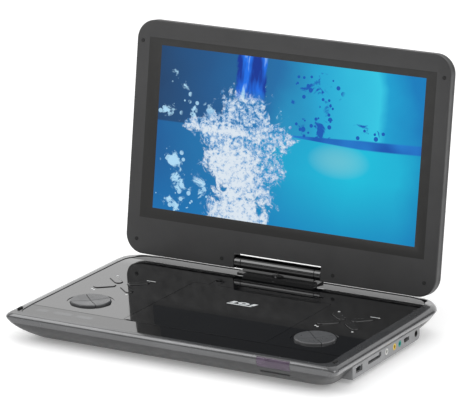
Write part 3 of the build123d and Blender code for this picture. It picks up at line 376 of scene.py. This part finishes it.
class WaterPicture(Finish):
    """A bright picture of blue water. Places are u across and v down, both from 0 to 1."""

    def __init__(self):
        settings = {"Emission_Strength": 1.0, "Specular_IOR_Level": 0.15}
        super().__init__("lcd_picture", (0.002, 0.002, 0.002), 0.3, **settings)
        self.spot = screen_place(self)
        axes = self.node("ShaderNodeSeparateXYZ", {"Vector": self.spot}).outputs
        self.u = axes["X"]
        self.v = self.math("SUBTRACT", 1.0, self.math("DIVIDE", axes["Y"], picture_shape))
        self.fine = self.texture(19.0, 7.0, Roughness=0.7, Distortion=0.8)
        cells = self.node("ShaderNodeTexVoronoi", {"Vector": self.spot, "Scale": 44.0}).outputs
        radius = self.span(cells["Color"], 0.05, 0.42, 0.2, 0.9)
        self.drops = self.math("LESS_THAN", cells["Distance"], radius)
        scene = self.surface_line(self.water())
        for layer in (self.dark_drops, self.pale_drops, self.foam, self.stream):
            scene = layer(scene)
        # Painted reflection: seen in a mirror, the picture is near black.
        self.link(self.mix(self.mirrored(), scene, (0.004, 0.006, 0.009)), "Emission Color")

    def texture(self, scale, detail, **links):
        """Noise from 0 to 1 across the picture."""
        links = {"Vector": self.spot, "Scale": scale, "Detail": detail, **links}
        return self.node("ShaderNodeTexNoise", links).outputs["Fac"]

    def step(self, value, start, end):
        """0 before start, 1 after end."""
        return self.span(value, 0, 1, start, end)

    def most(self, *values):
        """The largest of several values."""
        result = values[0]
        for value in values[1:]:
            result = self.math("MAXIMUM", result, value)
        return result

    def ellipse(self, u, v, half_width, half_height):
        """1 in the middle of an ellipse, 0 at its edge and beyond."""
        across = self.math("DIVIDE", self.math("SUBTRACT", self.u, u), half_width)
        down = self.math("DIVIDE", self.math("SUBTRACT", self.v, v), half_height)
        squares = self.math("ADD", self.math("MULTIPLY", across, across), self.math("MULTIPLY", down, down))
        return self.math("SUBTRACT", 1.0, self.math("MINIMUM", squares, 1.0))

    def patches(self, *ellipses):
        """Several ellipses together."""
        return self.most(*(self.ellipse(*ellipse) for ellipse in ellipses))

    def water(self):
        """Pale blue at the right and deep blue at the left, above and below a wavy water level."""
        wander = self.texture(2.4, 4.0)
        above = self.ramp(
            self.math("ADD", self.u, self.span(wander, -0.06, 0.06)),
            (
                (0.0, (0.012, 0.055, 0.15)), (0.2, (0.012, 0.09, 0.25)), (0.42, (0.012, 0.15, 0.38)),
                (0.6, (0.014, 0.38, 0.64)), (0.84, (0.03, 0.56, 0.76)), (0.88, (0.006, 0.34, 0.62)),
                (1.0, (0.003, 0.2, 0.5)),
            ),
        )
        below = self.ramp(
            self.math("ADD", self.u, self.span(wander, -0.05, 0.05)),
            (
                (0.0, (0.008, 0.11, 0.32)), (0.3, (0.01, 0.2, 0.46)), (0.5, (0.006, 0.36, 0.6)),
                (0.75, (0.006, 0.5, 0.7)), (0.9, (0.006, 0.44, 0.66)), (1.0, (0.002, 0.26, 0.52)),
            ),
        )
        below = self.mix(self.span(self.v, 0.0, 0.75, 0.66, 1.05), below, (0.002, 0.17, 0.46))
        wave = self.span(self.texture(1.6, 0.0), 0.45, 0.48)
        self.level = self.math("ADD", self.math("MULTIPLY", self.u, -0.03), wave)
        sunk = self.step(self.math("SUBTRACT", self.v, self.level), -0.004, 0.004)
        glow = self.math("MULTIPLY", self.ellipse(0.7, 0.56, 0.12, 0.11), 0.4)
        return self.mix(glow, self.mix(sunk, above, below), (0.28, 0.6, 0.62))

    def surface_line(self, scene):
        """Dark band along the water level, wider to the right."""
        away = self.math("ABSOLUTE", self.math("SUBTRACT", self.v, self.level))
        thickness = self.span(self.u, 0.004, 0.03, 0.5, 0.78)
        band = self.span(self.math("DIVIDE", away, thickness), 1, 0, 0.75, 1.05)
        band = self.math("MULTIPLY", band, self.step(self.u, 0.46, 0.53))
        blue = self.mix(self.step(self.texture(9.0, 1.0), 0.3, 0.7), (0.004, 0.09, 0.42), (0.012, 0.2, 0.62))
        return self.mix(band, scene, blue)

    def dark_drops(self, scene):
        """Dark blue drops and streaks above the water at the right."""
        spray = self.patches(
            (0.52, 0.24, 0.03, 0.04), (0.645, 0.27, 0.035, 0.14), (0.57, 0.39, 0.08, 0.07),
            (0.62, 0.38, 0.06, 0.09), (0.6, 0.14, 0.12, 0.11), (0.8, 0.36, 0.1, 0.08),
        )
        drops = self.math("MULTIPLY", self.drops, self.step(spray, 0.15, 0.4))
        streaks = self.step(self.math("ADD", self.math("MULTIPLY", spray, 0.36), self.fine), 0.82, 0.9)
        return self.mix(self.most(drops, streaks), scene, (0.004, 0.1, 0.45))

    def pale_drops(self, scene):
        """Pale drops and streaks thrown to the left."""
        spray = self.patches(
            (0.05, 0.16, 0.04, 0.06), (0.095, 0.26, 0.035, 0.09), (0.14, 0.38, 0.03, 0.1),
            (0.04, 0.39, 0.06, 0.06), (0.21, 0.37, 0.05, 0.08), (0.07, 0.68, 0.06, 0.08),
            (0.09, 0.82, 0.06, 0.13), (0.17, 0.84, 0.06, 0.11), (0.08, 0.94, 0.11, 0.08),
            (0.46, 0.36, 0.07, 0.09),
        )
        drops = self.math("MULTIPLY", self.drops, self.step(spray, 0.1, 0.45))
        streaks = self.step(self.math("ADD", self.math("MULTIPLY", spray, 0.32), self.fine), 0.76, 0.84)
        return self.mix(self.most(self.math("MULTIPLY", drops, 0.8), streaks), scene, (0.42, 0.7, 0.9))

    def edge(self, *stops):
        """How far across an edge of the foam lies, for each place down the picture."""
        return self.ramp(self.v, [(down, (across, across, across)) for down, across in stops])

    def foam(self, scene):
        """Column of foam with a ragged outline, widest at the water level."""
        left = self.edge(
            (0.18, 0.3), (0.32, 0.26), (0.4, 0.19), (0.44, 0.07), (0.5, 0.15), (0.58, 0.2),
            (0.68, 0.15), (0.8, 0.22), (1.0, 0.24),
        )
        right = self.edge(
            (0.18, 0.38), (0.34, 0.43), (0.42, 0.5), (0.47, 0.54), (0.52, 0.48), (0.7, 0.455),
            (0.85, 0.42), (1.0, 0.44),
        )
        from_left = self.math("SUBTRACT", self.u, left)
        inside = self.math("MINIMUM", from_left, self.math("SUBTRACT", right, self.u))
        inside = self.math("MINIMUM", inside, self.math("SUBTRACT", self.v, 0.2))
        coarse = self.span(self.texture(7.0, 3.0), -0.05, 0.05)
        ragged = self.math("ADD", self.span(self.fine, -0.07, 0.07), coarse)
        cover = self.step(self.math("ADD", inside, ragged), -0.012, 0.016)
        core = self.patches((0.28, 0.74, 0.15, 0.26), (0.35, 0.98, 0.13, 0.26), (0.25, 0.475, 0.2, 0.035))
        bubbles = self.texture(52.0, 5.0, Roughness=0.85)
        bubbles = self.math("ADD", bubbles, self.math("MULTIPLY", core, 0.12))
        cover = self.math("MULTIPLY", cover, self.span(bubbles, 0.25, 1, 0.4, 0.5))
        white = self.mix(self.step(bubbles, 0.44, 0.6), (0.03, 0.26, 0.6), (0.7, 0.78, 0.86))
        return self.mix(cover, scene, white)

    def stream(self, scene):
        """Streaky stream of water that falls into the foam."""
        tall = self.node("ShaderNodeMapping", {"Vector": self.spot, "Scale": (26.0, 5.0, 5.0)})
        links = {"Vector": tall.outputs["Vector"], "Scale": 1.0, "Detail": 3.0}
        strands = self.node("ShaderNodeTexNoise", links).outputs["Fac"]
        away = self.math("ABSOLUTE", self.math("SUBTRACT", self.u, 0.352))
        cover = self.span(self.math("ADD", away, self.span(self.fine, -0.008, 0.008)), 1, 0, 0.052, 0.06)
        cover = self.math("MULTIPLY", cover, self.span(self.v, 1, 0, 0.2, 0.27))
        blue = self.mix(self.step(strands, 0.36, 0.5), (0.003, 0.035, 0.3), (0.01, 0.16, 0.8))
        return self.mix(cover, scene, self.mix(self.step(strands, 0.52, 0.6), blue, (0.5, 0.8, 1.0)))


def window_filter():
    """Dark purple plastic that hides the infrared receiver."""
    made = Finish("window_filter", (0.16, 0.115, 0.175), 0.12, Transmission_Weight=0.5, IOR=1.49)
    return made.drift(0.85, 1.15, 10 * MM).gloss(0.08, 0.2, 6 * MM)


def print_ink():
    """White printing with a slightly uneven cover."""
    made = Finish("print_ink", (0.75, 0.75, 0.74), 0.45).drift(0.85, 1.08, 3 * MM)
    return made.grain(0.2 * MM, 0.01 * MM)


# --- edges and smoothing ----------------------------------------------------------------
def smoothing_group(limit):
    """Geometry nodes that smooth a mesh, and keep edges sharper than the limit."""
    group = bpy.data.node_groups.new("smooth_by_angle", "GeometryNodeTree")
    for way in ("INPUT", "OUTPUT"):
        group.interface.new_socket("Geometry", in_out=way, socket_type="NodeSocketGeometry")
    entry = group.nodes.new("NodeGroupInput")
    leave = group.nodes.new("NodeGroupOutput")
    plain = group.nodes.new("GeometryNodeRemoveAttribute")
    plain.inputs["Name"].default_value = "custom_normal"
    faces = group.nodes.new("GeometryNodeSetShadeSmooth")
    edges = group.nodes.new("GeometryNodeSetShadeSmooth")
    edges.domain = "EDGE"
    edges.inputs["Shade Smooth"].default_value = False
    angle = group.nodes.new("GeometryNodeInputMeshEdgeAngle")
    sharper = group.nodes.new("FunctionNodeCompare")
    sharper.operation = "GREATER_THAN"
    sharper.inputs[1].default_value = limit
    link = group.links.new
    link(entry.outputs[0], plain.inputs["Geometry"])
    link(plain.outputs["Geometry"], faces.inputs["Geometry"])
    link(faces.outputs["Geometry"], edges.inputs["Geometry"])
    link(angle.outputs["Unsigned Angle"], sharper.inputs[0])
    link(sharper.outputs["Result"], edges.inputs["Selection"])
    link(edges.outputs["Geometry"], leave.inputs[0])
    return group


def soften(piece, width, smooth):
    """Breaks the sharp edges of a piece and smooths its curved faces."""
    weld = piece.modifiers.new("weld", "WELD")
    weld.merge_threshold = 0.004 * MM
    if width:
        flat = piece.modifiers.new("join_flat_faces", "DECIMATE")
        flat.decimate_type = "DISSOLVE"
        flat.angle_limit = math.radians(0.6)
        edge = piece.modifiers.new("broken_edges", "BEVEL")
        edge.width = width
        edge.segments = 2
        edge.limit_method = "ANGLE"
        edge.angle_limit = math.radians(38)
    shade = piece.modifiers.new("smooth", "NODES")
    shade.node_group = smooth
    piece.modifiers.new("even_normals", "WEIGHTED_NORMAL").keep_sharp = True


# --- printed marks ----------------------------------------------------------------------
def deck_height(y):
    """Height of the deck's surface: flat, with a front band that slopes down."""
    return deck_z - max(0.0, band_start - y) * band_slope


def flat_shape(bm, outline, thickness):
    """Adds one thin printed shape that lies on the deck, closed all round, to a mesh."""
    top = [bm.verts.new((x, y, deck_height(y) + thickness)) for x, y in outline]
    bottom = [bm.verts.new((x, y, deck_height(y))) for x, y in outline]
    bm.faces.new(top)
    bm.faces.new(list(reversed(bottom)))
    for i in range(len(outline)):
        j = (i + 1) % len(outline)
        bm.faces.new((bottom[i], bottom[j], top[j], top[i]))


def ring_shape(bm, centre, outer, inner, z, thickness, squash=1.0, steps=32):
    """Adds one thin printed ring to a mesh."""
    loops = []
    for radius, height in ((outer, z), (outer, z + thickness), (inner, z + thickness), (inner, z)):
        loop = []
        for i in range(steps):
            angle = 2 * math.pi * i / steps
            x = centre[0] + radius * math.cos(angle)
            y = centre[1] + squash * radius * math.sin(angle)
            loop.append(bm.verts.new((x, y, height)))
        loops.append(loop)
    for k in range(4):
        here, there = loops[k], loops[(k + 1) % 4]
        for i in range(steps):
            j = (i + 1) % steps
            bm.faces.new((here[i], here[j], there[j], there[i]))


def printed(name, build, body, ink):
    """A piece of printing made by a function that fills a bmesh."""
    bm = bmesh.new()
    build(bm)
    mesh = bpy.data.meshes.new(name)
    bm.to_mesh(mesh)
    bm.free()
    piece = bpy.data.objects.new(name, mesh)
    bpy.context.scene.collection.objects.link(piece)
    mesh.materials.append(ink)
    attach(piece, body)


def rounded(x, y, width, height, radius, steps=5):
    """Outline of a rounded bar on the deck, in metres, from its middle and size in millimetres."""
    points = []
    corners = ((1, 1, 0), (-1, 1, 90), (-1, -1, 180), (1, -1, 270))
    for sx, sy, start in corners:
        for step in range(steps):
            angle = math.radians(start + 90 * step / (steps - 1))
            px = x + sx * (width / 2 - radius) + radius * math.cos(angle)
            py = sy * (height / 2 - radius) + radius * math.sin(angle)
            points.append((px * MM, y + py * MM))
    return points


def key_marks(bm):
    """Plain signs beside the petal keys: a bar, two dots and two triangles."""
    dot_width = 2.4
    for centre in key_centres:
        bar_y = key_y + 25.2 * MM
        flat_shape(bm, rounded(centre + 19.4, bar_y, 10.5, 1.1, 0.5), ink_thickness)
        for x, y in ((20.4, -25.8), (-16.4, -26.6)):
            dot = rounded(centre + x, key_y + y * MM, dot_width, dot_width, dot_width / 2 - 0.01)
            flat_shape(bm, dot, ink_thickness)
        left, tip = (centre - 20.6) * MM, (centre - 17.8) * MM
        for y in (25.4, -24.4):
            base = key_y + y * MM
            flat_shape(bm, [(left, base - 1.5 * MM), (tip, base), (left, base + 1.5 * MM)], ink_thickness)


def band_marks(bm):
    """Three pale bars on the sloped front band."""
    for x, width in ((-149.7, 13.0), (-126.4, 20.0), (-102.0, 17.5)):
        flat_shape(bm, rounded(x, hinge.y - 208.5 * MM, width, 7.0, 2.6), ink_thickness)


def door_mark(bm):
    """Disc sign on the door: a flattened ring between slanted bars, over a slanted foot."""
    middle = Vector(((door_low.x + door_high.x) / 2, hinge.y - 98.5 * MM))
    slant = 0.35

    def bar(left, right, low, high):
        shape = [(left, low), (right, low), (right, high), (left, high)]
        moved = [(middle.x + (x + slant * y) * MM, middle.y + y * MM) for x, y in shape]
        flat_shape(bm, moved, ink_thickness)

    bar(-13.5, -8.6, -0.8, 5.2)
    bar(8.6, 13.5, -0.8, 5.2)
    ring_middle = (middle.x + 0.8 * MM, middle.y + 2.2 * MM)
    ring_shape(bm, ring_middle, 6.4 * MM, 2.4 * MM, deck_z, ink_thickness, squash=0.52)
    bar(-13.5, 13.5, -4.6, -2.2)


# --- the model --------------------------------------------------------------------------
def main():
    """Camera, light, a finish and softened edges for each node, and the printing."""
    aim_camera()
    surroundings()
    studio()
    smooth = smoothing_group(math.radians(36))
    gunmetal = {"Metallic": 0.5, "Coat_Weight": 0.8, "Coat_Roughness": 0.06}
    finishes = {
        "hull_grey": satin("hull_grey", (0.04, 0.0405, 0.042), 0.34, Metallic=0.2, Coat_Weight=0.1),
        "rim_grey": satin("rim_gunmetal", (0.095, 0.096, 0.099), 0.22, **gunmetal),
        "deck_black": deck(),
        "door_black": piano("door_black"),
        "port_grey": satin("port_grey", (0.25, 0.252, 0.257), 0.4),
        "bezel": bezel(),
        "back_black": satin("back_black", (0.018, 0.018, 0.019), 0.5, 0.9 * MM, 0.03 * MM),
        "lcd_glass": WaterPicture(),
        "tray_metal": metal("tray_metal", (0.6, 0.61, 0.63), 0.35, (1, 0.02, 1)),
        "key_black": piano("key_black", (0.004, 0.004, 0.0045)),
        "pad_grey": satin("pad_grey", (0.12, 0.121, 0.125), 0.3, Metallic=0.3, Coat_Weight=0.15),
        "rubber_black": satin("rubber_black", (0.012, 0.012, 0.012), 0.75, 0.35 * MM, 0.03 * MM),
        "membrane": satin("membrane", (0.28, 0.29, 0.31), 0.6, 0.6 * MM, 0.01 * MM, Subsurface_Weight=0.1),
        "steel": metal("ground_steel", (0.56, 0.57, 0.59), 0.28, (1, 0.03, 1)),
        "screw_steel": metal("blackened_steel", (0.1, 0.1, 0.105), 0.4),
        "hinge_black": piano("hinge_black", (0.002, 0.002, 0.0022)),
        "bearing_metal": metal("sintered_bronze", (0.5, 0.36, 0.18), 0.4),
        "board_green": board(),
        "chassis_black": satin("chassis_black", (0.014, 0.014, 0.015), 0.55, 0.8 * MM, 0.02 * MM),
        "hub_black": satin("hub_black", (0.02, 0.02, 0.021), 0.35),
        "motor_metal": metal("motor_plate", (0.5, 0.5, 0.52), 0.3, (1, 1, 0.04)),
        "sled_metal": satin("sled_nylon", (0.06, 0.06, 0.064), 0.5),
        "cell_wrap": cell_wrap(),
        "speaker_paper": speaker_cone(),
        "window_purple": window_filter(),
        "sensor": satin("sensor_epoxy", (0.01, 0.01, 0.01), 0.2),
        "usb_metal": metal("usb_plate", (0.55, 0.56, 0.57), 0.25, (0.03, 1, 1)),
        "card_metal": metal("card_plate", (0.55, 0.56, 0.57), 0.25, (0.03, 1, 1)),
        "jack_white": satin("jack_white", (0.6, 0.6, 0.58), 0.4),
        "jack_yellow": satin("jack_yellow", (0.72, 0.5, 0.06), 0.4),
        "jack_green": satin("jack_green", (0.02, 0.3, 0.24), 0.4),
        "dc_black": satin("dc_black", (0.012, 0.012, 0.012), 0.4),
        "switch_black": satin("switch_black", (0.02, 0.02, 0.02), 0.45),
    }
    usual_edge = 0.15
    edge_width = {
        "deck_cover": 0.3, "disc_door": 0.3, "screen_front": 0.35, "screen_back": 0.4, "port_panel": 0.3,
    }
    for entry in frame["record"]["subparts"]:
        node = nodes[entry["node"]]
        node.data.materials.clear()
        node.data.materials.append(finishes[entry["material_slot"]].material)
        soften(node, edge_width.get(entry["node"], usual_edge) * MM, smooth)
    ink = print_ink().material
    printed("door_mark", door_mark, "disc_door", ink)
    printed("key_marks", key_marks, "base", ink)
    printed("band_marks", band_marks, "base", piano("band_ink", (0.05, 0.052, 0.056)).material)


main()
